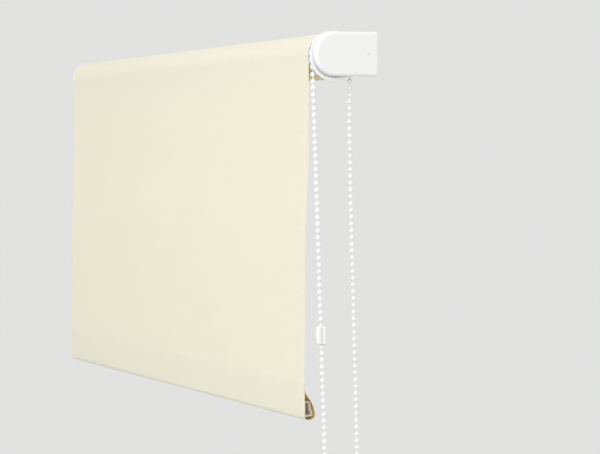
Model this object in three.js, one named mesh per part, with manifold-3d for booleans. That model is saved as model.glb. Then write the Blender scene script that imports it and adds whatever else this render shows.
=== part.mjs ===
// Roller blind with a side chain drive, wall fixed.
// Millimetres. +X runs along the width toward the chain side, +Y runs into the wall, +Z is up.
// The wall plane is Y = 0, the middle of the width is X = 0 and the tube axis is at Z = 0.
import * as THREE from 'three';
import Module from 'manifold-3d';

const wasm = await Module();
wasm.setup();
const { Manifold, Mesh: MMesh } = wasm;

// ---------------------------------------------------------------- driving dimensions
const WIDTH = 900;              // over both end covers
const AXIS_Y = -40;             // tube axis, distance from the wall
const AXIS = [0, AXIS_Y, 0];

const FABRIC_X0 = -436.2;       // idle side edge of the fabric
const FABRIC_X1 = 433.8;        // drive side edge of the fabric
const FABRIC_T = 0.45;
const ROLL_R0 = 19.3;
const ROLL_R1 = 20.0;           // wound fabric under the outer turn
const PANEL_Y = AXIS_Y - 20.3;  // back face of the hanging sheet at the roll
const PANEL_LEAN = 3.6;         // how far the hanging sheet stands forward at the hem
const PANEL_BOTTOM = -296.2;

const TUBE_R1 = 19.0;
const TUBE_R0 = 17.8;
const TUBE_X0 = -434.5;
const TUBE_X1 = 432.1;

const COVER_T = 7.2;            // thickness of an end cover along X
const COVER_R = 19.5;           // radius of its round front
const COVER_Z = 1.8;            // its middle stands this far above the tube axis
const COVER_WALL = 1.4;
const PLATE_T = 1.5;
const PLATE_INSET = 1.9;

const CHAIN_PITCH = 6.0;
const BEAD_D = 4.5;
const POCKETS = 19;
const PITCH_R = POCKETS * CHAIN_PITCH / (2 * Math.PI);   // 18.14
const CHAIN_X = 437.6;
const CORD_R = 1.5;             // plain cord that stands for the chain
const FRONT_LEAN = 0.0335;      // the front strand comes back toward the wall as it drops
const LOOP_Z = -458;            // where the bottom bend starts

const CLIP_Z = -245.8;
const CLIP_H = 16.4;
const CLIP_W = 9.6;
const CLIP_D = 7.0;

// ---------------------------------------------------------------- colours and finishes
const mat = (color, roughness, metalness = 0) => new THREE.MeshStandardMaterial({ color, roughness, metalness });
const WHITE = mat(0xf1f1ee, 0.42);
const CHAIN = mat(0xf4f3ef, 0.35);
const CREAM = mat(0xefe8d3, 0.95);
const STEEL = mat(0xc9ccce, 0.38, 0.9);
const ZINC = mat(0xb9bcbe, 0.35, 0.9);
const ALU = mat(0xc4c0b8, 0.35, 0.85);
const GREY = mat(0xdcdcd8, 0.5);
const SPRING = mat(0x9b9fa3, 0.3, 0.95);

// ---------------------------------------------------------------- helpers
const toManifold = (g) => {
  const p = g.getAttribute('position');
  const idx = g.index ? g.index.array : Array.from({ length: p.count }, (_, i) => i);
  const key = new Map(), verts = [], remap = new Uint32Array(p.count);
  for (let i = 0; i < p.count; i++) {
    const k = [p.getX(i), p.getY(i), p.getZ(i)].map((v) => Math.round(v * 1e4)).join(',');
    let j = key.get(k);
    if (j === undefined) { j = verts.length / 3; key.set(k, j); verts.push(p.getX(i), p.getY(i), p.getZ(i)); }
    remap[i] = j;
  }
  const tris = [];
  for (let i = 0; i < idx.length; i += 3) {
    const a = remap[idx[i]], b = remap[idx[i + 1]], c = remap[idx[i + 2]];
    if (a !== b && b !== c && c !== a) tris.push(a, b, c);
  }
  return new Manifold(new MMesh({ numProp: 3, vertProperties: new Float32Array(verts), triVerts: new Uint32Array(tris) }));
};
const fromManifold = (m) => {
  const mesh = m.getMesh();
  const g = new THREE.BufferGeometry();
  const n = mesh.numProp, v = mesh.vertProperties, pos = [];
  for (let i = 0; i < v.length / n; i++) pos.push(v[i * n], v[i * n + 1], v[i * n + 2]);
  g.setAttribute('position', new THREE.Float32BufferAttribute(pos, 3));
  g.setIndex(Array.from(mesh.triVerts));
  g.computeVertexNormals();
  return g;
};
const union = (list) => list.reduce((a, b) => a.add(b));
const cut = (a, list) => list.reduce((m, b) => m.subtract(b), a);

// cylinder along X between two X values, centred on (y, z)
const cylX = (x0, x1, r, y = 0, z = 0, seg = 48, r2 = r) => {
  const g = new THREE.CylinderGeometry(r2, r, x1 - x0, seg);
  g.rotateZ(-Math.PI / 2);
  g.translate((x0 + x1) / 2, y, z);
  return toManifold(g);
};
// cylinder along Y
const cylY = (y0, y1, r, x, z, seg = 24) => {
  const g = new THREE.CylinderGeometry(r, r, y1 - y0, seg);
  g.translate(x, (y0 + y1) / 2, z);
  return toManifold(g);
};
const box = (x0, x1, y0, y1, z0, z1) => {
  const g = new THREE.BoxGeometry(x1 - x0, y1 - y0, z1 - z0);
  g.translate((x0 + x1) / 2, (y0 + y1) / 2, (z0 + z1) / 2);
  return toManifold(g);
};
// profile of (y, z) points pushed along X
const prismX = (pts, x0, x1) => {
  const s = new THREE.Shape(pts.map((p) => new THREE.Vector2(p[0], p[1])));
  const g = new THREE.ExtrudeGeometry(s, { depth: x1 - x0, bevelEnabled: false, curveSegments: 12 });
  // shape x -> Y, shape y -> Z, extrusion -> X
  const m = new THREE.Matrix4().set(0, 0, 1, x0, 1, 0, 0, 0, 0, 1, 0, 0, 0, 0, 0, 1);
  g.applyMatrix4(m);
  return g;
};
// the same with a hollow right through
const hollow = (outer, inner, x0, x1) => toManifold(prismX(outer, x0, x1)).subtract(toManifold(prismX(inner, x0 - 1, x1 + 1)));
// tube along a curve of points
const tube = (pts, r, steps, sides = 8) => {
  const path = new THREE.CatmullRomCurve3(pts.map((p) => new THREE.Vector3(...p)), false, 'centripetal');
  const s = new THREE.Shape();
  for (let i = 0; i < sides; i++) {
    const a = i * 2 * Math.PI / sides;
    if (i === 0) s.moveTo(r * Math.cos(a), r * Math.sin(a)); else s.lineTo(r * Math.cos(a), r * Math.sin(a));
  }
  s.closePath();
  return new THREE.ExtrudeGeometry(s, { steps, bevelEnabled: false, extrudePath: path, curveSegments: 1 });
};
const coil = (x0, x1, r, wire, turns, perTurn = 14) => {
  const pts = [], n = turns * perTurn;
  for (let i = 0; i <= n; i++) {
    const a = i * 2 * Math.PI / perTurn;
    pts.push([x0 + (x1 - x0) * i / n, r * Math.cos(a), r * Math.sin(a)]);
  }
  return tube(pts, wire, n, 6);
};

const group = new THREE.Group();
const add = (parent, name, geom, material) => {
  const g = geom instanceof THREE.BufferGeometry ? geom : fromManifold(geom);
  const m = new THREE.Mesh(g, material);
  m.name = name;
  parent.add(m);
  return m;
};
// everything that shares the tube axis is drawn about Y = 0 and set out from the wall here
const axis = new THREE.Group();
axis.position.set(...AXIS);
group.add(axis);

// ---------------------------------------------------------------- end brackets and covers
// side outline shared by cover and bracket: flat at the wall, round at the front
const dShape = (inset, yWall, seg = 28) => {
  const r = COVER_R - inset, pts = [[yWall, COVER_Z - r]];
  pts.push([yWall, COVER_Z + r]);
  for (let i = 0; i <= seg; i++) {
    const a = Math.PI / 2 + Math.PI * i / seg;
    pts.push([AXIS_Y + r * Math.cos(a), COVER_Z + r * Math.sin(a)]);
  }
  return pts.reverse();
};
const HALF = WIDTH / 2;
const coverShell = (side) => {
  // side +1 is the drive end
  const xo = side * HALF, xi = side * (HALF - COVER_T), xc = side * (HALF - COVER_WALL);
  const lo = Math.min(xo, xi), hi = Math.max(xo, xi);
  let s = toManifold(prismX(dShape(0, -0.3), lo, hi));
  const c0 = Math.min(xc, xi - side * 1), c1 = Math.max(xc, xi - side * 1);
  s = s.subtract(toManifold(prismX(dShape(COVER_WALL, 1), c0, c1)));
  // small round dimple near the wall edge that marks the release point
  s = s.subtract(cylX(Math.min(xo + side, xo - side * 0.9), Math.max(xo + side, xo - side * 0.9), 1.15, -8, 1.0, 20));
  return s;
};
const bracket = (side, bore) => {
  const xp0 = side * (HALF - 6.8), xp1 = side * (HALF - 6.8 + PLATE_T);
  const lo = Math.min(xp0, xp1), hi = Math.max(xp0, xp1);
  const r = COVER_R - PLATE_INSET;
  let s = toManifold(prismX(dShape(PLATE_INSET, 0), lo, hi));
  const f0 = Math.min(xp1, side * 412), f1 = Math.max(xp1, side * 412);
  s = s.add(box(f0, f1, -PLATE_T, 0, COVER_Z - r, COVER_Z + r));
  const holes = [
    cylY(-PLATE_T - 1, 1, 2.25, side * 428, COVER_Z + 10),
    cylY(-PLATE_T - 1, 1, 2.25, side * 428, COVER_Z - 10),
    cylX(lo - 1, hi + 1, bore, AXIS_Y, 0, 32),
  ];
  return cut(s, holes);
};
add(group, 'drive_bracket', bracket(1, 2.7), ZINC);
add(group, 'drive_cover', coverShell(1), WHITE);
add(group, 'idle_bracket', bracket(-1, 2.7), ZINC);
add(group, 'idle_cover', coverShell(-1), WHITE);

// ---------------------------------------------------------------- chain drive, fixed pieces
const X_FLANGE0 = 441.5, X_FLANGE1 = 442.7;
add(axis, 'clutch_body', cut(union([
  cylX(X_FLANGE0, X_FLANGE1, 18.4, 0, 0, 48),
  cylX(402, X_FLANGE0 + 0.2, 7.6, 0, 0, 40),
]), [cylX(420, X_FLANGE1 + 1, 2.7, 0, 0, 24)]), GREY);

// full ring beside the sprocket, with a hood over its top that is open toward the front and below
const arcBand = (r0, r1, a0, a1, seg) => {
  const p = [];
  for (let i = 0; i <= seg; i++) { const a = (a0 + (a1 - a0) * i / seg) * Math.PI / 180; p.push([r1 * Math.cos(a), r1 * Math.sin(a)]); }
  for (let i = seg; i >= 0; i--) { const a = (a0 + (a1 - a0) * i / seg) * Math.PI / 180; p.push([r0 * Math.cos(a), r0 * Math.sin(a)]); }
  return p;
};
add(axis, 'chain_guard', union([
  toManifold(prismX(arcBand(21.7, 22.2, -20, 152, 32), 434.3, 442.0)),
  cut(cylX(441.5, 442.4, 22.2, 0, 0, 72), [cylX(441, 443, 18.8, 0, 0, 60)]),
]), WHITE);

add(axis, 'clutch_washer', cut(cylX(445.0, 445.8, 5.2, 0, 0, 32), [cylX(444, 447, 2.9, 0, 0, 24)]), STEEL);
add(axis, 'clutch_screw', cut(union([
  cylX(446.1, 448.1, 4.2, 0, 0, 32, 3.6),
  cylX(424, 446.3, 2.4, 0, 0, 20),
]), [box(447.2, 449, -0.5, 0.5, -2.4, 2.4), box(447.2, 449, -2.4, 2.4, -0.5, 0.5)]), STEEL);

// ---------------------------------------------------------------- chain drive, turning pieces
const sprocket = (() => {
  const hubR = 16.3, fl = 21.4;
  let s = union([
    cylX(434.2, 441.2, hubR, 0, 0, 57),
    cylX(434.2, 435.0, fl, 0, 0, 57),
    cylX(440.2, 441.2, fl, 0, 0, 57),
    cylX(426, 434.4, 10.5, 0, 0, 40),
  ]);
  const tools = [cylX(425, 442, 8.0, 0, 0, 36)];
  for (let i = 0; i < POCKETS; i++) {
    const a = (i + 0.5) * 2 * Math.PI / POCKETS;
    // shallow moulded dimple between two pockets, in the inner face of the tube side flange
    tools.push(cylX(434.5, 436.5, 1.2, 20.1 * Math.cos(a), 20.1 * Math.sin(a), 12));
    const b = i * 2 * Math.PI / POCKETS;
    const g = new THREE.SphereGeometry(2.5, 10, 6);
    g.translate(CHAIN_X, PITCH_R * Math.cos(b), PITCH_R * Math.sin(b));
    tools.push(toManifold(g));
  }
  return cut(s, tools);
})();
add(axis, 'drive_sprocket', sprocket, WHITE);
add(axis, 'wrap_spring_a', coil(415.6, 424.6, 8.55, 0.5, 5), SPRING);
add(axis, 'wrap_spring_b', coil(404.2, 413.2, 8.55, 0.5, 5), SPRING);
add(axis, 'drive_plug', cut(union([
  cylX(432.4, FABRIC_X1, TUBE_R1, 0, 0, 48),
  cylX(396, 432.6, 17.4, 0, 0, 48),
]), [cylX(395, 435, 10.9, 0, 0, 40)]), GREY);

// ---------------------------------------------------------------- tube, wound fabric, idle plug
add(axis, 'roller_tube', cut(cylX(TUBE_X0, TUBE_X1, TUBE_R1, 0, 0, 64), [cylX(TUBE_X0 - 1, TUBE_X1 + 1, TUBE_R0, 0, 0, 64)]), ALU);
add(axis, 'fabric_roll', cut(cylX(FABRIC_X0, FABRIC_X1, ROLL_R1, 0, 0, 64), [cylX(FABRIC_X0 - 1, FABRIC_X1 + 1, ROLL_R0, 0, 0, 64)]), CREAM);
add(axis, 'idle_plug', cut(union([
  cylX(FABRIC_X0, -434.8, TUBE_R1, 0, 0, 48),
  cylX(-435, -398, 17.4, 0, 0, 48),
]), [cylX(-437, -427, 4.4, 0, 0, 32), cylX(-428, -397, 7.2, 0, 0, 36)]), GREY);
add(axis, 'idle_pin', union([
  cylX(-442.5, -424.8, 4.0, 0, 0, 32),
  cylX(-427.6, -425, 6.8, 0, 0, 32),
  cylX(-425.2, -400.5, 3.0, 0, 0, 28),
]), STEEL);
add(axis, 'pin_spring', coil(-424.1, -403.0, 5.2, 0.45, 7, 12), SPRING);
add(axis, 'pin_retainer', cut(cylX(-402, -399.6, 6.9, 0, 0, 32), [cylX(-403, -398, 3.4, 0, 0, 28)]), GREY);
add(axis, 'idle_bushing', cut(union([
  cylX(-442.9, -441.9, 10, 0, 0, 36),
  cylX(-442.0, -438.5, 7.5, 0, 0, 36),
]), [cylX(-444, -437, 4.4, 0, 0, 32)]), WHITE);

// ---------------------------------------------------------------- hanging sheet and hem
const yHem = PANEL_Y - PANEL_LEAN;
add(group, 'fabric_panel', prismX([
  [PANEL_Y, -0.5], [PANEL_Y, -95], [yHem, -230], [yHem, PANEL_BOTTOM],
  [yHem - FABRIC_T, PANEL_BOTTOM], [yHem - FABRIC_T, -230], [PANEL_Y - FABRIC_T, -95], [PANEL_Y - FABRIC_T, -0.5],
], FABRIC_X0, FABRIC_X1), CREAM);

// hem pocket: a drop shaped loop of the same fabric, open at both ends
const HEM_OUT = [
  [-64.35, -296.5], [-64.4, -304], [-64.4, -312], [-64.4, -317.2], [-63.7, -319.3], [-61.6, -320.6], [-58.8, -320.9],
  [-56.1, -320.1], [-54.3, -318.3], [-53.8, -315.8], [-54.4, -311.8], [-56.0, -307], [-58.4, -302.4], [-61.0, -298.8], [-62.9, -296.5],
];
const HEM_IN = [
  [-63.9, -301], [-63.9, -312], [-63.9, -317.0], [-63.3, -318.9], [-61.4, -320.1], [-58.8, -320.4],
  [-56.4, -319.6], [-54.8, -318.0], [-54.3, -315.7], [-54.9, -312], [-56.45, -307.2], [-58.8, -302.7], [-61.2, -299.6], [-63.2, -298.4],
];
add(group, 'fabric_hem', hollow(HEM_OUT, HEM_IN, FABRIC_X0, FABRIC_X1), CREAM);
// hollow weight bar, narrower at the top, with a thinner front wall
const BAR_OUT = [[-63.58, -304.6], [-62.8, -303.8], [-60.1, -303.8], [-59.3, -304.5], [-56.2, -315.6], [-56.9, -316.9], [-62.7, -318.0], [-63.5, -317.2]];
const BAR_IN = [[-62.85, -305.0], [-60.3, -305.0], [-57.5, -315.5], [-62.8, -316.6]];
add(group, 'bottom_bar', hollow(BAR_OUT, BAR_IN, FABRIC_X0 + 1.4, FABRIC_X1 - 1.2), ALU);

// ---------------------------------------------------------------- bead chain
// on the sprocket
const wrap = [];
for (let i = 0; i <= 12; i++) {
  const a = (1 + 178 * i / 12) * Math.PI / 180;
  wrap.push([CHAIN_X, PITCH_R * Math.cos(a), PITCH_R * Math.sin(a)]);
}
add(axis, 'chain_wrap', tube(wrap, CORD_R, 20), CHAIN);
// hanging loop: front strand, bottom bend, back strand
const frontY = (z) => -PITCH_R - FRONT_LEAN * z;
const loop = [];
for (let i = 0; i <= 16; i++) { const z = -1.2 + (LOOP_Z + 1.2) * i / 16; loop.push([CHAIN_X, frontY(z), z]); }
const yb0 = frontY(LOOP_Z), yb1 = 25.6, rb = (yb1 - yb0) / 2;
for (let i = 1; i < 8; i++) {
  const a = Math.PI + Math.PI * i / 8;
  loop.push([CHAIN_X, (yb0 + yb1) / 2 + rb * Math.cos(a), LOOP_Z + rb * Math.sin(a)]);
}
for (const p of [[25.6, -458], [24.7, -400], [23.6, -350], [21.9, -290], [20.4, -235], [18.9, -180], [17.6, -130], [16.6, -87], [16.1, -45], [16.3, -22], [17.4, -10], [18.1, -1.2]]) loop.push([CHAIN_X, p[0], p[1]]);
add(axis, 'chain_loop', tube(loop, CORD_R, 80), CHAIN);

// two-piece connector on the front strand, split across the strand
const clipHalf = (side) => {
  // drawn about its own middle, Y toward the wall
  const w = CLIP_W / 2, h = CLIP_H / 2, d = CLIP_D / 2, c = 1.4;
  const pts = [[-d + c, -h], [d - c, -h], [d, -h + c], [d, h - c], [d - c, h], [-d + c, h], [-d, h - c], [-d, -h + c]];
  const s = new THREE.Shape(pts.map((p) => new THREE.Vector2(p[0], p[1])));
  const g = new THREE.ExtrudeGeometry(s, { depth: w - 0.15 - 1.2, bevelEnabled: true, bevelThickness: 1.2, bevelSize: 1.2, bevelOffset: -1.2, bevelSegments: 2, curveSegments: 4 });
  // extrusion goes along Y away from the split; the bevel on the split side is cut off below
  const m = new THREE.Matrix4().set(1, 0, 0, 0, 0, 0, side, 0, 0, 1, 0, 0, 0, 0, 0, 1);
  g.applyMatrix4(m);
  if (side > 0) {
    // keep the surface facing outward after the axis swap
    const ix = g.index; const p = g.getAttribute('position');
    if (ix) { for (let i = 0; i < ix.count; i += 3) { const t = ix.getX(i); ix.setX(i, ix.getX(i + 1)); ix.setX(i + 1, t); } }
    else { const arr = p.array; for (let i = 0; i < arr.length; i += 9) for (let k = 0; k < 3; k++) { const t = arr[i + k]; arr[i + k] = arr[i + 3 + k]; arr[i + 3 + k] = t; } }
  }
  let s3 = toManifold(g);
  const y0 = side > 0 ? 0.15 : -w - 3, y1 = side > 0 ? w + 3 : -0.15;
  s3 = s3.intersect(box(-20, 20, y0, y1, -20, 20));
  // groove for the thread, with a seat for each of two beads
  const grooveG = new THREE.CylinderGeometry(1.85, 1.85, CLIP_H + 4, 16);
  grooveG.rotateX(Math.PI / 2);
  s3 = s3.subtract(toManifold(grooveG));
  for (const z of [-3, 3]) { const b = new THREE.SphereGeometry(2.55, 14, 9); b.translate(0, 0, z); s3 = s3.subtract(toManifold(b)); }
  return s3;
};
const clip = new THREE.Group();
clip.position.set(CHAIN_X, frontY(CLIP_Z), CLIP_Z);
clip.rotation.x = Math.atan(FRONT_LEAN);
axis.add(clip);
add(clip, 'clip_front_half', clipHalf(-1), WHITE);
add(clip, 'clip_rear_half', clipHalf(1), WHITE);

export default group;
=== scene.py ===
import math

import bpy
import bmesh
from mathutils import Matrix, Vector


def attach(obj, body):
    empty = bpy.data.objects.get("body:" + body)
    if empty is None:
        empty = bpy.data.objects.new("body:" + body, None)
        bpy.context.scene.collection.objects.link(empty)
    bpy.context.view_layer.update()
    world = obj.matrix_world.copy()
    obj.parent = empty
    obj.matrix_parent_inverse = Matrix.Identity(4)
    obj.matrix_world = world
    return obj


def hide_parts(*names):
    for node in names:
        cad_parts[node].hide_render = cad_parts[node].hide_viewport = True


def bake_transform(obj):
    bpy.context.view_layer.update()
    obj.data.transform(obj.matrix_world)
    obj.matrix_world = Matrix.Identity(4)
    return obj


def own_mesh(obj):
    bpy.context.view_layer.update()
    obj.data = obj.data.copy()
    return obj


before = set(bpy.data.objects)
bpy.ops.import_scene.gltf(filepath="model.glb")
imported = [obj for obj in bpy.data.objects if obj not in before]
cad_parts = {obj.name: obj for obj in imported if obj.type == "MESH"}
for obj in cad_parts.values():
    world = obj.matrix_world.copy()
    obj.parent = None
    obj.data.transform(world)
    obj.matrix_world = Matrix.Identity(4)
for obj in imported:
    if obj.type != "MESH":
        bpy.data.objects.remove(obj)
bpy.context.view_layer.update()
scene = bpy.context.scene

# ------------------------------------------------------------------ sizes, in metres, as in the CAD
MM = 0.001
AXIS_Y = -40 * MM
HALF = 450 * MM
FAB_X0, FAB_X1 = -436.2 * MM, 433.8 * MM
CHAIN_X = 437.6 * MM
PITCH = 6.0 * MM
BEAD_R = 2.25 * MM
POCKETS = 19
PITCH_R = POCKETS * PITCH / (2 * math.pi)
FRONT_LEAN = 0.0335
LOOP_Z = -458 * MM
CLIP_Z = -245.8 * MM


# ------------------------------------------------------------------ camera
def make_camera():
    az, el, dist = math.radians(72.1244), math.radians(1.2549), 2.7499
    target = Vector((0.3458715, -0.040, -0.1522414))
    d = Vector((math.sin(az) * math.cos(el), -math.cos(az) * math.cos(el), math.sin(el)))
    cam = bpy.data.cameras.new("camera")
    ob = bpy.data.objects.new("camera", cam)
    scene.collection.objects.link(ob)
    ob.location = target + d * dist
    ob.rotation_euler = (-d).to_track_quat("-Z", "Y").to_euler()
    cam.sensor_width = 36.0
    cam.lens = 181.413
    cam.clip_start, cam.clip_end = 0.05, 50
    scene.camera = ob
    return ob


make_camera()


# ------------------------------------------------------------------ materials
class Nodes:
    """A small helper that adds shader nodes and links them."""

    def __init__(self, name):
        self.mat = bpy.data.materials.new(name)
        self.mat.use_nodes = True
        self.t = self.mat.node_tree
        self.t.nodes.clear()
        self.out = self.t.nodes.new("ShaderNodeOutputMaterial")
        self.p = self.t.nodes.new("ShaderNodeBsdfPrincipled")
        self.t.links.new(self.p.outputs[0], self.out.inputs[0])

    def new(self, kind, **props):
        n = self.t.nodes.new(kind)
        for k, v in props.items():
            setattr(n, k, v)
        return n

    def link(self, a, b):
        self.t.links.new(a, b)

    def value(self, socket, v):
        if hasattr(v, "node"):
            self.link(v, socket)
        elif v is not None:
            socket.default_value = v

    def math(self, op, a, b=None, c=None, clamp=False):
        n = self.new("ShaderNodeMath", operation=op, use_clamp=clamp)
        for s, v in zip(n.inputs, (a, b, c)):
            self.value(s, v)
        return n.outputs[0]

    def coords(self, which="Object", scale=(1, 1, 1)):
        c = self.new("ShaderNodeTexCoord")
        m = self.new("ShaderNodeMapping")
        m.inputs["Scale"].default_value = scale
        self.link(c.outputs[which], m.inputs["Vector"])
        return m.outputs[0]

    def noise(self, vec, scale, detail=3, rough=0.5):
        n = self.new("ShaderNodeTexNoise")
        self.link(vec, n.inputs["Vector"])
        n.inputs["Scale"].default_value = scale
        n.inputs["Detail"].default_value = detail
        n.inputs["Roughness"].default_value = rough
        return n.outputs["Fac"]

    def ramp(self, fac, stops):
        r = self.new("ShaderNodeValToRGB")
        self.link(fac, r.inputs[0])
        e = r.color_ramp.elements
        while len(e) > 1:
            e.remove(e[-1])
        e[0].position, e[0].color = stops[0][0], (*stops[0][1], 1)
        for pos, col in stops[1:]:
            x = e.new(pos)
            x.color = (*col, 1)
        return r.outputs[0]

    def mix(self, fac, a, b):
        n = self.new("ShaderNodeMix", data_type="RGBA")
        self.value(n.inputs[0], fac)
        for s, v in ((n.inputs[6], a), (n.inputs[7], b)):
            self.value(s, (*v, 1) if isinstance(v, tuple) and len(v) == 3 else v)
        return n.outputs[2]

    def bump(self, height, strength, dist, normal=None):
        n = self.new("ShaderNodeBump")
        n.inputs["Strength"].default_value = strength
        n.inputs["Distance"].default_value = dist
        self.link(height, n.inputs["Height"])
        if normal is not None:
            self.link(normal, n.inputs["Normal"])
        return n.outputs[0]


def plastic(name, color, rough, speck=0.012, grain=0.00004, sss=0.0):
    m = Nodes(name)
    v = m.coords()
    broad = m.noise(v, 18, 2)
    fine = m.noise(v, 900, 2, 0.6)
    c0 = tuple(max(0, c * (1 - speck * 1.6)) for c in color)
    c1 = tuple(min(1, c * (1 + speck * 0.6)) for c in color)
    m.link(m.ramp(broad, [(0.3, c0), (0.7, c1)]), m.p.inputs["Base Color"])
    m.link(m.math("MULTIPLY_ADD", fine, 0.10, rough - 0.05), m.p.inputs["Roughness"])
    m.link(m.bump(fine, 0.25, grain), m.p.inputs["Normal"])
    m.p.inputs["IOR"].default_value = 1.48
    if sss:
        m.p.inputs["Subsurface Weight"].default_value = sss
        m.p.inputs["Subsurface Radius"].default_value = (0.004, 0.004, 0.0035)
        m.p.inputs["Subsurface Scale"].default_value = 0.3
    return m.mat


def metal(name, color, rough, streak=(1, 60, 60), amount=0.12, spangle=False):
    m = Nodes(name)
    v = m.coords("Object", streak)
    lines = m.noise(v, 40, 4, 0.6)
    if spangle:
        vo = m.new("ShaderNodeTexVoronoi", feature="F1")
        m.link(m.coords(), vo.inputs["Vector"])
        vo.inputs["Scale"].default_value = 480
        sep = m.new("ShaderNodeSeparateColor")
        m.link(vo.outputs["Color"], sep.inputs[0])
        lines = m.math("MULTIPLY_ADD", sep.outputs[0], 0.6, m.math("MULTIPLY", lines, 0.4))
    c0 = tuple(c * (1 - amount) for c in color)
    c1 = tuple(min(1, c * (1 + amount * 0.5)) for c in color)
    m.link(m.ramp(lines, [(0.25, c0), (0.75, c1)]), m.p.inputs["Base Color"])
    m.link(m.math("MULTIPLY_ADD", lines, 0.22, rough - 0.1), m.p.inputs["Roughness"])
    m.link(m.bump(lines, 0.12, 0.00003), m.p.inputs["Normal"])
    m.p.inputs["Metallic"].default_value = 1.0
    return m.mat


def fabric(name, through=0.15, tone=(1.0, 1.0, 1.0), glow=(0.95, 0.90, 0.68)):
    """Plain woven polyester: over and under threads at 0.55 mm, slubs, and a painted warmer, yellower tone where
    ambient occlusion finds it in its own shade, standing in for light bounced and shone through.
    """
    m = Nodes(name)
    uv = m.new("ShaderNodeUVMap", uv_map="cloth")
    sep = m.new("ShaderNodeSeparateXYZ")
    m.link(uv.outputs[0], sep.inputs[0])
    thread = 0.55 * MM
    k = math.pi / thread
    # slubs: noise drawn out along each thread direction
    slub = m.new("ShaderNodeTexNoise")
    mp = m.new("ShaderNodeMapping")
    mp.inputs["Scale"].default_value = (14, 900, 1)
    m.link(uv.outputs[0], mp.inputs["Vector"])
    m.link(mp.outputs[0], slub.inputs["Vector"])
    slub.inputs["Scale"].default_value = 1.0
    slub.inputs["Detail"].default_value = 2
    slub2 = m.new("ShaderNodeTexNoise")
    mp2 = m.new("ShaderNodeMapping")
    mp2.inputs["Scale"].default_value = (900, 14, 1)
    m.link(uv.outputs[0], mp2.inputs["Vector"])
    m.link(mp2.outputs[0], slub2.inputs["Vector"])
    slub2.inputs["Scale"].default_value = 1.0
    slub2.inputs["Detail"].default_value = 2
    su = m.math("SINE", m.math("MULTIPLY", sep.outputs[0], k))
    sv = m.math("SINE", m.math("MULTIPLY", sep.outputs[1], k))
    cell = m.math("MULTIPLY", su, sv)                       # checker of overs and unders
    warp = m.math("ABSOLUTE", su)
    weft = m.math("ABSOLUTE", sv)
    over = m.math("MULTIPLY_ADD", cell, 0.5, 0.5, clamp=True)
    height = m.math("ADD", m.math("MULTIPLY", warp, over), m.math("MULTIPLY", weft, m.math("SUBTRACT", 1.0, over)))
    slubs = m.math("ADD", m.math("MULTIPLY", slub.outputs["Fac"], 0.5), m.math("MULTIPLY", slub2.outputs["Fac"], 0.5))
    height = m.math("ADD", height, m.math("MULTIPLY", slubs, 0.45))
    # painted shade and glow: where other cloth lies close, ambient occlusion mixes the colour towards a bright golden
    # yellow
    ao = m.new("ShaderNodeAmbientOcclusion", samples=8)
    ao.inputs["Distance"].default_value = 0.028
    shade = m.math("POWER", ao.outputs["AO"], 1.8)
    lit = m.ramp(slubs, [(p, tuple(c * t for c, t in zip(col, tone))) for p, col in ((0.30, (0.798, 0.774, 0.652)), (0.50, (0.812, 0.789, 0.667)), (0.72, (0.823, 0.801, 0.681)))])
    painted_shade_glow = (0.99, 0.86, 0.46)
    col = m.mix(shade, painted_shade_glow, lit)
    # painted shade: the low points of the weave are made up to a tenth darker
    weave_painted_shade = m.math("MULTIPLY_ADD", height, 0.10, 0.90, clamp=True)
    fin = m.new("ShaderNodeMix", data_type="RGBA", blend_type="MULTIPLY")
    fin.inputs[0].default_value = 1.0
    m.link(col, fin.inputs[6])
    comb = m.new("ShaderNodeCombineColor")
    for i in range(3):
        m.link(weave_painted_shade, comb.inputs[i])
    m.link(comb.outputs[0], fin.inputs[7])
    m.link(fin.outputs[2], m.p.inputs["Base Color"])
    m.p.inputs["Roughness"].default_value = 0.92
    m.p.inputs["Specular IOR Level"].default_value = 0.18
    m.p.inputs["Sheen Weight"].default_value = 0.12
    m.p.inputs["Sheen Roughness"].default_value = 0.5
    n = m.bump(height, 0.35, 0.00012)
    m.link(n, m.p.inputs["Normal"])
    tr = m.new("ShaderNodeBsdfTranslucent")
    tr.inputs["Color"].default_value = (*glow, 1)
    mixs = m.new("ShaderNodeMixShader")
    mixs.inputs[0].default_value = through
    m.link(m.p.outputs[0], mixs.inputs[1])
    m.link(tr.outputs[0], mixs.inputs[2])
    m.link(mixs.outputs[0], m.out.inputs[0])
    return m.mat


WHITE = plastic("white_moulding", (0.775, 0.775, 0.775), 0.42, sss=0.05)
BEAD = plastic("bead_moulding", (0.80, 0.80, 0.805), 0.36, sss=0.08)
THREAD = plastic("bead_thread", (0.76, 0.76, 0.76), 0.75, grain=0.0001)
GREY = plastic("grey_moulding", (0.66, 0.66, 0.64), 0.5)
CREAM = fabric("cream_cloth")
# painted glow: the pocket's copy of the cloth is brightened by the tone factors 1.12, 1.11, 1.0 and lets more light
# through
CREAM_POCKET_PAINTED_GLOW = fabric("cream_cloth_pocket_painted_glow", 0.42, (1.12, 1.11, 1.0), (0.97, 0.92, 0.68))
ZINC = metal("zinc_plate", (0.72, 0.73, 0.75), 0.38, amount=0.05, spangle=True)
STEEL = metal("plated_steel", (0.74, 0.745, 0.75), 0.26, (60, 60, 60), 0.06)
SPRING = metal("spring_wire", (0.52, 0.53, 0.55), 0.3, (60, 60, 60), 0.10)
# painted reflection: the aluminium is tinted warm, standing in for the yellow cloth it reflects
ALU = metal("mill_aluminium_painted_warm_reflection", (0.66, 0.63, 0.575), 0.46, (0.6, 90, 90), 0.10)



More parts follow.
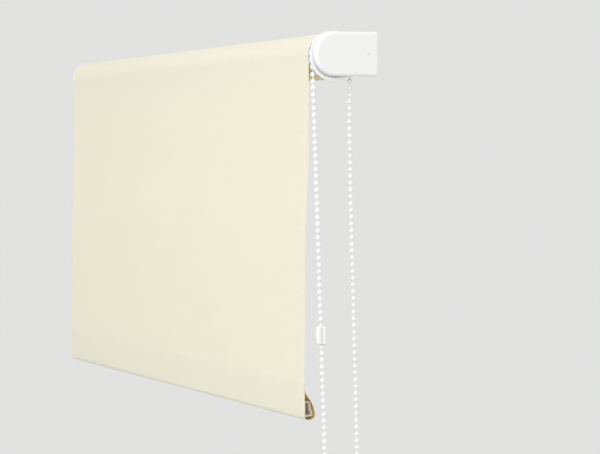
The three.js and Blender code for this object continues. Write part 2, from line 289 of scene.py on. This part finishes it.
def sprocket_white():
    """White moulding whose dimples, in the tube side flange, are painted a little darker, painted shade standing in for
    the shade in the recesses, so that they read as marks.
    """
    mat = plastic("sprocket_moulding", (0.775, 0.775, 0.775), 0.42, sss=0.05)
    t = mat.node_tree
    p = next(n for n in t.nodes if n.type == "BSDF_PRINCIPLED")
    old = p.inputs["Base Color"].links[0].from_socket
    m = Nodes.__new__(Nodes)
    m.mat, m.t, m.p = mat, t, p
    sep = m.new("ShaderNodeSeparateXYZ")
    m.link(m.coords(), sep.inputs[0])
    y = m.math("ADD", sep.outputs[1], -AXIS_Y)
    r = m.math("SQRT", m.math("ADD", m.math("MULTIPLY", y, y), m.math("MULTIPLY", sep.outputs[2], sep.outputs[2])))
    # painted shade: the dimples in the flange face, between radii 18.7 and 21.34 mm, get a darker pinkish grey
    inside = m.math("MULTIPLY", m.math("GREATER_THAN", sep.outputs[0], 434.30 * MM), m.math("LESS_THAN", sep.outputs[0], 434.93 * MM))
    inside = m.math("MULTIPLY", inside, m.math("MULTIPLY", m.math("GREATER_THAN", r, 18.7 * MM), m.math("LESS_THAN", r, 21.34 * MM)))
    m.link(m.mix(inside, old, (0.46, 0.385, 0.40)), p.inputs["Base Color"])
    return mat


SPROCKET = sprocket_white()
# painted light: the inside walls of the hollow bar get a light, warm, non-metallic colour instead of aluminium,
# standing in for light reaching its deep interior
BAR_INSIDE_PAINTED_LIGHT = plastic("bar_inside_painted_light", (0.74, 0.67, 0.56), 0.6, speck=0.05)


# ------------------------------------------------------------------ mesh helpers
def mesh_object(name, verts, faces, mat, smooth=True):
    me = bpy.data.meshes.new(name)
    me.from_pydata([tuple(v) for v in verts], [], faces)
    me.validate()
    bm = bmesh.new()
    bm.from_mesh(me)
    bmesh.ops.recalc_face_normals(bm, faces=bm.faces)
    bm.to_mesh(me)
    bm.free()
    for p in me.polygons:
        p.use_smooth = smooth
    ob = bpy.data.objects.new(name, me)
    scene.collection.objects.link(ob)
    ob.data.materials.append(mat)
    return ob


def loft(rings, close_ring=True, cap_a=False, cap_b=False, close_loop=False):
    """Quads between rings of equal length."""
    n = len(rings[0])
    verts = [v for r in rings for v in r]
    faces = []
    m = len(rings)
    for i in range(m if close_loop else m - 1):
        a, b = i * n, ((i + 1) % m) * n
        for j in range(n if close_ring else n - 1):
            k = (j + 1) % n
            faces.append((a + j, a + k, b + k, b + j))
    if cap_a:
        faces.append(tuple(range(n)))
    if cap_b:
        faces.append(tuple(range((m - 1) * n, m * n)))
    return verts, faces


def sharp_by_angle(ob, deg=35):
    me = ob.data
    bm = bmesh.new()
    bm.from_mesh(me)
    lim = math.radians(deg)
    for e in bm.edges:
        if len(e.link_faces) == 2 and e.calc_face_angle(0) > lim:
            e.smooth = False
    bm.to_mesh(me)
    bm.free()
    return ob


def catmull(points, per):
    """Points on a smooth curve through points (any dimension), per steps to a span."""
    P = [Vector(p) for p in points]
    P = [P[0] * 2 - P[1]] + P + [P[-1] * 2 - P[-2]]
    out = []
    for i in range(1, len(P) - 2):
        p0, p1, p2, p3 = P[i - 1], P[i], P[i + 1], P[i + 2]
        for s in range(per):
            t = s / per
            out.append(0.5 * ((2 * p1) + (p2 - p0) * t + (2 * p0 - 5 * p1 + 4 * p2 - p3) * t * t + (3 * p1 - p0 - 3 * p2 + p3) * t ** 3))
    out.append(P[-2].copy())
    return out


# ------------------------------------------------------------------ bead chain
def front_y(z):
    return AXIS_Y - PITCH_R - FRONT_LEAN * z


def chain_route():
    """The closed loop's centre line from the front of the sprocket down, round the bottom and up to the back of the sprocket."""
    pts = []
    z0 = -1.2 * MM
    for i in range(41):
        z = z0 + (LOOP_Z - z0) * i / 40
        pts.append((CHAIN_X, front_y(z), z))
    ya = front_y(LOOP_Z)
    yb = AXIS_Y + 25.6 * MM
    r = (yb - ya) / 2
    for i in range(1, 16):
        a = math.pi + math.pi * i / 16
        pts.append((CHAIN_X, (ya + yb) / 2 + r * math.cos(a), LOOP_Z + r * math.sin(a)))
    back = [(25.6, -458), (24.7, -400), (23.6, -350), (21.9, -290), (20.4, -235), (18.9, -180), (17.6, -130), (16.6, -87), (16.1, -45), (16.3, -22), (17.4, -10), (18.1, -1.2)]
    back = catmull([(p[0], p[1], 0) for p in back], 5)
    for p in back:
        pts.append((CHAIN_X, AXIS_Y + p.x * MM, p.y * MM))
    return [Vector(p) for p in pts]


def resample(path, n):
    d = [0.0]
    for a, b in zip(path, path[1:]):
        d.append(d[-1] + (b - a).length)
    out, j = [], 0
    for i in range(n):
        s = d[-1] * i / (n - 1)
        while j < len(d) - 2 and d[j + 1] < s:
            j += 1
        t = (s - d[j]) / (d[j + 1] - d[j])
        out.append(path[j].lerp(path[j + 1], t))
    return out, d[-1]


def bead_template(seg=20, rings=13):
    """One moulded bead with its thread axis along Z: a ball with a tiny neck at each end."""
    prof = []
    end = math.acos(0.66 * MM / BEAD_R)       # the ball runs in to just over the thread
    for i in range(rings + 1):
        a = -end + 2 * end * i / rings
        prof.append([BEAD_R * math.cos(a), BEAD_R * math.sin(a)])
    prof = [[0.60 * MM, prof[0][1] - 0.10 * MM]] + prof + [[0.60 * MM, prof[-1][1] + 0.10 * MM]]
    return [[Vector((p[0] * math.cos(2 * math.pi * j / seg), p[0] * math.sin(2 * math.pi * j / seg), p[1])) for j in range(seg)] for p in prof]


def chain_mesh(name, centres, tangents, thread_path):
    verts, faces = [], []
    tmpl = bead_template()
    for c, t in zip(centres, tangents):
        side = Vector((1, 0, 0))
        up = t.cross(side).normalized()
        rings = [[side * v.x + up * v.y + t * v.z + c for v in r] for r in tmpl]
        v, f = loft(rings, cap_a=True, cap_b=True)
        o = len(verts)
        verts += v
        faces += [tuple(i + o for i in g) for g in f]
    nb = len(faces)
    # the thread
    seg, r = 8, 0.6 * MM
    rings = []
    for i, p in enumerate(thread_path):
        a = thread_path[max(0, i - 1)]
        b = thread_path[min(len(thread_path) - 1, i + 1)]
        side = Vector((1, 0, 0))
        up = (b - a).normalized().cross(side).normalized()
        rings.append([side * (r * math.cos(2 * math.pi * j / seg)) + up * (r * math.sin(2 * math.pi * j / seg)) + p for j in range(seg)])
    v, f = loft(rings, cap_a=True, cap_b=True)
    o = len(verts)
    verts += v
    faces += [tuple(i + o for i in g) for g in f]
    ob = mesh_object(name, verts, faces, BEAD)
    ob.data.materials.append(THREAD)
    return ob, nb


route = chain_route()
arc_len = sum((b - a).length for a, b in zip(route, route[1:]))
n_loop = round(arc_len / PITCH)
step = arc_len / n_loop
fine, _ = resample(route, n_loop * 6 + 1)
# beads stand half a pitch in from each end of the loop, so the run over the sprocket carries on from it
idx = [int((i + 0.5) * 6) for i in range(n_loop)]
centres = [fine[i] for i in idx]
tangents = [(fine[min(i + 1, len(fine) - 1)] - fine[max(i - 1, 0)]).normalized() for i in idx]
chain_loop, _ = chain_mesh("bead_chain_loop", centres, tangents, fine[::2])
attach(chain_loop, "wall_mount")
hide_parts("chain_loop")

n_arc = 10
arc = [Vector((CHAIN_X, AXIS_Y + PITCH_R * math.cos(a), PITCH_R * math.sin(a))) for a in [math.radians(1.5 + 177 * i / 60) for i in range(61)]]
ca, ta = [], []
for i in range(n_arc):
    a = math.pi * (i + 0.25) / (n_arc - 0.5)
    a = math.radians(4) + math.radians(172) * i / (n_arc - 1)
    ca.append(Vector((CHAIN_X, AXIS_Y + PITCH_R * math.cos(a), PITCH_R * math.sin(a))))
    ta.append(Vector((0, -math.sin(a), math.cos(a))))
chain_wrap, _ = chain_mesh("bead_chain_on_sprocket", ca, ta, arc)
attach(chain_wrap, "wall_mount")
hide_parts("chain_wrap")


# ------------------------------------------------------------------ cloth
T = 0.40 * MM                     # cloth thickness
R_FRONT = 20.52 * MM              # centre line of the outermost turn where the cloth leaves the roll


def arc_lengths(pts):
    d = [0.0]
    for a, b in zip(pts, pts[1:]):
        d.append(d[-1] + (Vector(b) - Vector(a)).length)
    return d


def cloth_strip(name, prof, x0, x1, nx, wave=None, v0=0.0):
    """A sheet of cloth with real thickness: prof is its centre line as (y, z) points, drawn along X from x0 to x1."""
    n = len(prof)
    P = [Vector((p[0], p[1])) for p in prof]
    nrm = []
    for i in range(n):
        t = (P[min(i + 1, n - 1)] - P[max(i - 1, 0)]).normalized()
        nrm.append(Vector((-t.y, t.x)))
    d = arc_lengths([(p.x, p.y, 0) for p in P])
    verts, faces, uvs = [], [], []
    xs = [x0 + (x1 - x0) * i / nx for i in range(nx + 1)]
    for side in (1, -1):
        for i in range(n):
            for x in xs:
                off = wave(x, P[i].y, d[i]) if wave else 0.0
                q = P[i] + nrm[i] * (side * T / 2)
                verts.append((x, q.x + off, q.y))
                uvs.append((x, d[i] + v0))
    m = nx + 1
    o = n * m
    for i in range(n - 1):
        for j in range(nx):
            a, b, c, e = i * m + j, i * m + j + 1, (i + 1) * m + j + 1, (i + 1) * m + j
            faces.append((a, b, c, e))
            faces.append((o + e, o + c, o + b, o + a))
    for i in range(n - 1):
        for j in (0, nx):
            a, b = i * m + j, (i + 1) * m + j
            faces.append((a, b, o + b, o + a))
    for j in range(nx):
        for i in (0, n - 1):
            a, b = i * m + j, i * m + j + 1
            faces.append((a, b, o + b, o + a))
    ob = mesh_object(name, verts, faces, CREAM)
    me = ob.data
    uv = me.uv_layers.new(name="cloth")
    for li, loop in enumerate(me.loops):
        uv.data[li].uv = uvs[loop.vertex_index]
    sharp_by_angle(ob, 60)
    return ob, d[-1]


# outer turn, hanging sheet and hem pocket are one piece of cloth
prof = []
N_TURN = 96
for i in range(N_TURN):
    # from just inside the front, under, behind and over the top to the front
    back = 352 * (1 - i / N_TURN)             # degrees still to go to the point where the cloth leaves
    a = math.radians(180 - back)
    r = R_FRONT - 0.47 * MM * back / 352
    prof.append((AXIS_Y + r * math.cos(a), r * math.sin(a)))
drop = catmull([(-60.52, 0, 0), (-60.52, -30, 0), (-60.52, -62, 0), (-60.66, -94, 0), (-61.5, -119, 0), (-62.75, -144, 0), (-63.35, -171, 0), (-63.72, -223, 0), (-64.05, -272, 0), (-64.1, -296, 0)], 7)
prof += [(p.x * MM, p.y * MM) for p in drop[:-1]]
pocket = [(-64.1, -296), (-64.15, -303), (-64.2, -310), (-64.15, -316.2), (-63.6, -318.8), (-61.7, -320.35), (-58.9, -320.7),
          (-56.2, -319.85), (-54.5, -318.1), (-54.05, -315.8), (-54.65, -311.9), (-56.2, -307.1), (-58.6, -302.5), (-61.2, -299.2), (-62.9, -296.6), (-63.52, -293.4), (-63.6, -290.4), (-63.56, -288.2)]
pk = catmull([(p[0], p[1], 0) for p in pocket], 6)
prof += [(p.x * MM, p.y * MM) for p in pk]


HEM_S = arc_lengths([(p[0], p[1], 0) for p in prof])[N_TURN + len(drop) - 1] + 2 * MM


def wave(x, z, s):
    """Faint cockle of a hanging cloth: nothing at the roll, a few tenths of a millimetre lower down."""
    k = max(0.0, min(1.0, (-z - 0.04) / 0.12))
    k2 = max(0.0, min(1.0, (0.300 + z) / 0.02))   # the bar holds the hem straight
    weld = -0.14 * MM * math.exp(-((z + 0.2945) / 0.0007) ** 2) if s < HEM_S else 0.0
    return weld + k * k2 * (0.16 * MM * math.sin(x * 21 + 1.1) + 0.10 * MM * math.sin(x * 47 + 9 * z) + 0.05 * MM * math.sin(x * 90 + 22 * z))


NX = 72
cloth, cloth_len = cloth_strip("blind_cloth", prof, FAB_X0, FAB_X1, NX, wave)
# inside the pocket the cloth gets a copy of its material with a painted brighter, yellower colour, a painted glow for
# the light behind it that shines through, and it lets more light through; outside it is the same all over
cloth.data.materials.append(CREAM_POCKET_PAINTED_GLOW)
k0 = N_TURN + len(drop) - 1 + 5 * 6
mid = Vector((AXIS_Y - 18.5 * MM, -309.0 * MM))
for k, pol in enumerate(cloth.data.polygons):
    row = k // (2 * NX)
    if row < len(prof) - 1 and k0 <= row:
        c = Vector((pol.center.y, pol.center.z))
        n = Vector((pol.normal.y, pol.normal.z))
        if c.y < -299.5 * MM and n.dot(mid - c) > 0:   # the welded flap above is left alone
            pol.material_index = 1
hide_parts("fabric_panel", "fabric_hem")
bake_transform(cloth)

inner = []
for i in range(97):
    a = 2 * math.pi * 1.0 * i / 96
    r = 19.22 * MM + 0.41 * MM * i / 96
    inner.append((AXIS_Y + r * math.cos(a - 2.4), r * math.sin(a - 2.4)))
wound, _ = cloth_strip("wound_cloth", inner, FAB_X0 + 0.0002, FAB_X1 - 0.0002, 4, None, 3.0)
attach(wound, "roller")
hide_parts("fabric_roll")


# ------------------------------------------------------------------ end covers
def d_outline(inset, n=120):
    """The cover's side outline, flat at the wall and round at the front, pulled in by inset. Always n points that match."""
    r = 19.5 * MM - inset
    cz = 1.8 * MM
    yw = -0.3 * MM - inset
    rc = max(2.4 * MM - inset, 0.25 * MM)     # corners at the wall
    pts = []
    # walk: bottom straight from the wall to the arc, arc, top straight back, corner, wall side, corner
    n_arc2, n_st, n_c, n_w = 48, 20, 6, 20
    for i in range(n_st):
        t = i / n_st
        pts.append((yw - rc + (AXIS_Y - (yw - rc)) * t, cz - r))
    for i in range(n_arc2):
        a = -math.pi / 2 - math.pi * i / n_arc2
        pts.append((AXIS_Y + r * math.cos(a), cz + r * math.sin(a)))
    for i in range(n_st):
        t = i / n_st
        pts.append((AXIS_Y + ((yw - rc) - AXIS_Y) * t, cz + r))
    for i in range(n_c):
        a = math.pi / 2 - math.pi / 2 * i / n_c
        pts.append((yw - rc + rc * math.cos(a), cz + r - rc + rc * math.sin(a)))
    for i in range(n_w):
        t = i / n_w
        pts.append((yw, cz + (r - rc) * (1 - 2 * t)))
    for i in range(n_c):
        a = -math.pi / 2 * i / n_c
        pts.append((yw - rc + rc * math.cos(a), cz - r + rc + rc * math.sin(a)))
    return pts


def cover(name, side, node):
    x_face, x_rim, x_rim_wall = 450.0, 442.66, 445.3
    fil, wall = 2.6, 1.4
    hole = (-8 * MM, 1.0 * MM)
    rings = []

    def ring(inset, x, limit=False):
        out = []
        for y, z in d_outline(inset * MM):
            xx = x
            if limit and y > -2.6 * MM and abs(z - 1.8 * MM) < 17.9 * MM:
                xx = max(x, x_rim_wall)
            out.append((side * xx * MM, y, z))
        return out

    def toward_hole(inset, x, t, rh):
        out = []
        for y, z in d_outline(inset * MM):
            a = math.atan2(z - hole[1], y - hole[0])
            hy, hz = hole[0] + rh * MM * math.cos(a), hole[1] + rh * MM * math.sin(a)
            out.append((side * x * MM, y + (hy - y) * t, z + (hz - z) * t))
        return out

    # inner face from under the dimple out, up the inside, over the rim, up the outside, over the fillet, and in to the dimple
    seq = []
    xi = x_face - wall
    for t in (0.985, 0.9, 0.7, 0.4):
        seq.append(toward_hole(wall + 1.4, xi, t, 1.1))
    for i in range(0, 5):
        a = math.pi / 2 * i / 4
        seq.append(ring(wall + 1.4 - 1.4 * math.sin(a), xi - 1.4 + 1.4 * math.cos(a)))
    seq.append(ring(wall, x_rim + 0.25, True))
    seq.append(ring(wall - 0.18, x_rim, True))
    seq.append(ring(0.22, x_rim, True))
    seq.append(ring(0.0, x_rim + 0.25, True))
    seq.append(ring(0.0, x_rim + 1.6, True))
    seq.append(ring(0.0, x_face - fil - 0.5))
    for i in range(0, 9):
        a = math.pi / 2 * i / 8
        seq.append(ring(fil - fil * math.cos(a), x_face - fil + fil * math.sin(a)))
    for t in (0.06, 0.25, 0.5, 0.75, 0.92):
        seq.append(toward_hole(fil, x_face, t, 1.4))
    seq.append(toward_hole(fil, x_face, 1.0, 1.4))
    seq.append(toward_hole(fil, x_face - 0.18, 1.0, 1.16))
    seq.append(toward_hole(fil, x_face - 0.75, 1.0, 1.05))
    seq.append(toward_hole(fil, x_face - 0.88, 1.0, 0.80))
    v, f = loft(seq, cap_a=True, cap_b=True)
    ob = mesh_object(name, v, f, WHITE)
    sharp_by_angle(ob, 50)
    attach(ob, "wall_mount")
    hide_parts(node)
    return ob


cover("drive_end_cover", 1, "drive_cover")
cover("idle_end_cover", -1, "idle_cover")


# ------------------------------------------------------------------ hood over the sprocket
def hood():
    """A section swept right round the axis: a plain ring where it is open, and ring and hood together over the top."""
    x1 = 442.4
    n = 180
    rings = []
    for i in range(n):
        deg = 360 * i / n
        # 1 over the top of the sprocket, 0 in the open part, with a short run out at each end
        d = min(abs(deg - 66), 360 - abs(deg - 66))
        k = max(0.0, min(1.0, (86 - d) / 5.0))
        k = k * k * (3 - 2 * k)
        x0 = (x1 - 0.9) - 7.2 * k
        xi = max(x0, x1 - 0.9 - 0.3 * k)
        a = math.radians(deg)
        prof = [(x0 + 0.12, 22.2), (x1 - 0.35, 22.2), (x1 - 0.1, 22.1), (x1, 21.85), (x1, 19.05), (x1 - 0.08, 18.86), (x1 - 0.25, 18.8), (x1 - 0.7, 18.8), (x1 - 0.9, 19.0),
                (x1 - 0.9, 21.45), (xi, 21.7), (x0 + 0.12, 21.7), (x0, 21.8), (x0, 22.1)]
        rings.append([(x * MM, AXIS_Y + r * MM * math.cos(a), r * MM * math.sin(a)) for x, r in prof])
    v, f = loft(rings, close_loop=True)
    ob = mesh_object("chain_hood", v, f, WHITE)
    sharp_by_angle(ob, 40)
    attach(ob, "wall_mount")
    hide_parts("chain_guard")
    return ob


hood()


# ------------------------------------------------------------------ connector on the chain
def connector():
    """Two snap halves round the front strand, with rounded edges, a seam between them and a raised rib on each."""
    base = Vector((CHAIN_X, front_y(CLIP_Z), CLIP_Z))
    ang = math.atan(FRONT_LEAN)
    half = []
    for side, name, node in ((-1, "connector_front", "clip_front_half"), (1, "connector_rear", "clip_rear_half")):
        # outline in (x, z), depth along y
        H, D, W = 8.2, 3.5, 4.8
        rings = []

        def outline(inset, y, rc=1.9):
            pts = []
            h, d = H - inset, D - inset
            r = max(rc - inset, 0.35)
            for cx, cz, a0 in ((d - r, h - r, 0), (-(d - r), h - r, 90), (-(d - r), -(h - r), 180), (d - r, -(h - r), 270)):
                for k in range(7):
                    a = math.radians(a0 + 90 * k / 6)
                    pts.append((cx + r * math.cos(a), y, cz + r * math.sin(a)))
            return pts

        seq = [outline(0.12, 0.15), outline(0.0, 0.28)]
        seq.append(outline(0.0, 2.6))
        for k in range(1, 8):
            a = math.pi / 2 * k / 7
            seq.append(outline(1.7 * (1 - math.cos(a)), 2.6 + 1.9 * math.sin(a)))
        # a low rib down the middle of the outside
        seq.append(outline(1.95, 4.5, 2.0))
        seq.append(outline(2.3, 4.78, 2.2))
        v, f = loft(seq, cap_a=True, cap_b=True)
        out = []
        for x, y, z in v:
            p = Vector((x * MM, side * y * MM, z * MM))
            c, s = math.cos(ang), math.sin(ang)
            out.append(base + Vector((p.x, p.y * c - p.z * s, p.y * s + p.z * c)))
        ob = mesh_object(name, out, f, WHITE)
        sharp_by_angle(ob, 55)
        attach(ob, "chain_clip")
        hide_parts(node)
        half.append(ob)
    return half


halves = connector()


# ------------------------------------------------------------------ bar in the hem
def bar():
    outer = [(-63.6, -304.6), (-62.8, -303.85), (-60.1, -303.85), (-59.3, -304.5), (-56.25, -315.6), (-56.9, -316.9), (-62.7, -317.95), (-63.5, -317.2)]
    inn = [(-62.9, -305.3), (-62.65, -304.95), (-60.4, -304.95), (-60.15, -305.2), (-57.65, -315.3), (-57.85, -315.65), (-62.65, -316.55), (-62.9, -316.35)]
    x0, x1 = -434.8, 432.6
    seq = []
    def ring(pts, x):
        return [(x * MM, y * MM, z * MM) for y, z in pts]
    def grow(pts, k):
        cy = sum(p[0] for p in pts) / len(pts)
        cz = sum(p[1] for p in pts) / len(pts)
        return [(cy + (p[0] - cy) * k, cz + (p[1] - cz) * k) for p in pts]
    for x in (x0, -300, -150, 0, 150, 300, x1):
        seq.append(ring(outer, x))
    seq[0:1] = [ring(grow(outer, 0.985), x0), ring(outer, x0 + 0.12)]
    seq[-1:] = [ring(outer, x1 - 0.12), ring(grow(outer, 0.985), x1)]
    seq.append(ring(grow(inn, 1.02), x1))
    seq.append(ring(inn, x1 - 0.12))
    for x in (300, 150, 0, -150, -300):
        seq.append(ring(inn, x))
    seq.append(ring(inn, x0 + 0.12))
    seq.append(ring(grow(inn, 1.02), x0))
    v, f = loft(seq, close_loop=True)
    ob = mesh_object("weight_bar", v, f, ALU)
    # the inside walls get the painted light material
    ob.data.materials.append(BAR_INSIDE_PAINTED_LIGHT)
    first = next(i for i, r in enumerate(seq) if r[0][0] == x1 * MM and i > 4 and i + 1 < len(seq) and seq[i + 1][0][0] < r[0][0])
    for k, pol in enumerate(ob.data.polygons):
        if k // len(outer) > first:
            pol.material_index = 1
    sharp_by_angle(ob, 30)
    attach(ob, "hem")
    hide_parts("bottom_bar")
    return ob


bar()

# ------------------------------------------------------------------ springs
def spring(name, node, body, x0, x1, radius, wire, turns, closed=0.0):
    """A round wire coil about the tube axis. closed is how many turns at each end lie close together."""
    per, seg = 28, 10
    n = int(turns * per)
    total = (x1 - x0)
    lead = wire * 2.08
    open_turns = turns - 2 * closed
    pitch = (total - 2 * closed * lead) / open_turns
    centre = []
    for i in range(n + 1):
        t = turns * i / n
        x = min(t, closed) * lead + max(0.0, min(t - closed, open_turns)) * pitch + max(0.0, t - closed - open_turns) * lead
        a = 2 * math.pi * t
        centre.append(Vector(((x0 + x) * MM, AXIS_Y + radius * MM * math.cos(a), radius * MM * math.sin(a))))
    rings = []
    for i, c in enumerate(centre):
        tan = (centre[min(i + 1, n)] - centre[max(i - 1, 0)]).normalized()
        out = Vector((0, c.y - AXIS_Y, c.z)).normalized()
        side = tan.cross(out).normalized()
        out = side.cross(tan).normalized()
        rings.append([c + (out * math.cos(2 * math.pi * j / seg) + side * math.sin(2 * math.pi * j / seg)) * wire * MM for j in range(seg)])
    v, f = loft(rings, cap_a=True, cap_b=True)
    ob = mesh_object(name, v, f, SPRING)
    sharp_by_angle(ob, 60)
    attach(ob, body)
    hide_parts(node)
    return ob


spring("clutch_spring_a", "wrap_spring_a", "roller", 415.6, 424.6, 8.55, 0.5, 5)
spring("clutch_spring_b", "wrap_spring_b", "roller", 404.2, 413.2, 8.55, 0.5, 5)
idle_spring = spring("idle_pin_spring", "pin_spring", "roller", -424.1, -403.0, 5.2, 0.45, 8, closed=1.0)
# the shoulder of the pin presses it together by its 6 mm of travel
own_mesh(idle_spring)

# ------------------------------------------------------------------ carried-over CAD pieces
finish = {
    "drive_bracket": ZINC, "idle_bracket": ZINC, "clutch_body": GREY, "clutch_screw": STEEL, "clutch_washer": STEEL, "drive_sprocket": SPROCKET,
    "drive_plug": GREY, "roller_tube": ALU, "idle_plug": GREY, "idle_pin": STEEL,
    "pin_retainer": GREY, "idle_bushing": WHITE,
}
for node, mat in finish.items():
    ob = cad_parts[node]
    if not ob.material_slots:
        ob.data.materials.append(mat)
    for s in ob.material_slots:
        s.material = mat
    if node in ("drive_bracket", "idle_bracket", "drive_sprocket", "clutch_body", "drive_plug", "idle_plug", "idle_bushing"):
        bv = ob.modifiers.new("edge", "BEVEL")
        bv.width = 0.00015
        bv.segments = 2
        bv.limit_method = "ANGLE"
        bv.angle_limit = math.radians(50)


# ------------------------------------------------------------------ stage and light
def stage():
    n = 96
    verts = [(4.2 * math.cos(2 * math.pi * i / n), 4.2 * math.sin(2 * math.pi * i / n), -0.80) for i in range(n)]
    ob = mesh_object("floor", verts, [tuple(range(n))], floor_mat(), smooth=False)


def floor_mat():
    m = Nodes("pale_floor")
    v = m.coords()
    m.link(m.ramp(m.noise(v, 6, 3), [(0.3, (0.69, 0.69, 0.685)), (0.7, (0.705, 0.705, 0.70))]), m.p.inputs["Base Color"])
    m.p.inputs["Roughness"].default_value = 0.9
    return m.mat


stage()


def area(name, loc, target, size, power, color=(1, 1, 1)):
    li = bpy.data.lights.new(name, "AREA")
    li.shape = "RECTANGLE"
    li.size, li.size_y = size
    li.energy = power
    li.color = color
    ob = bpy.data.objects.new(name, li)
    scene.collection.objects.link(ob)
    ob.location = loc
    ob.visible_camera = False
    ob.rotation_euler = (Vector(target) - Vector(loc)).to_track_quat("-Z", "Y").to_euler()
    return ob


area("key", (0.6, -2.6, 1.6), (0.0, 0, -0.1), (2.4, 1.8), 46, (1.0, 0.995, 0.985))
area("side", (2.6, -0.6, 0.9), (0.4, 0, -0.1), (1.4, 1.4), 21.5, (1.0, 1.0, 1.0))
area("back", (-0.8, 2.4, 1.6), (0.0, 0, -0.1), (2.2, 1.6), 16, (1.0, 1.0, 1.0))

world = bpy.data.worlds.new("studio")
scene.world = world
world.use_nodes = True
bg = world.node_tree.nodes["Background"]
bg.inputs[0].default_value = (0.825, 0.825, 0.82, 1)
bg.inputs[1].default_value = 0.92
scene.view_settings.view_transform = "Standard"
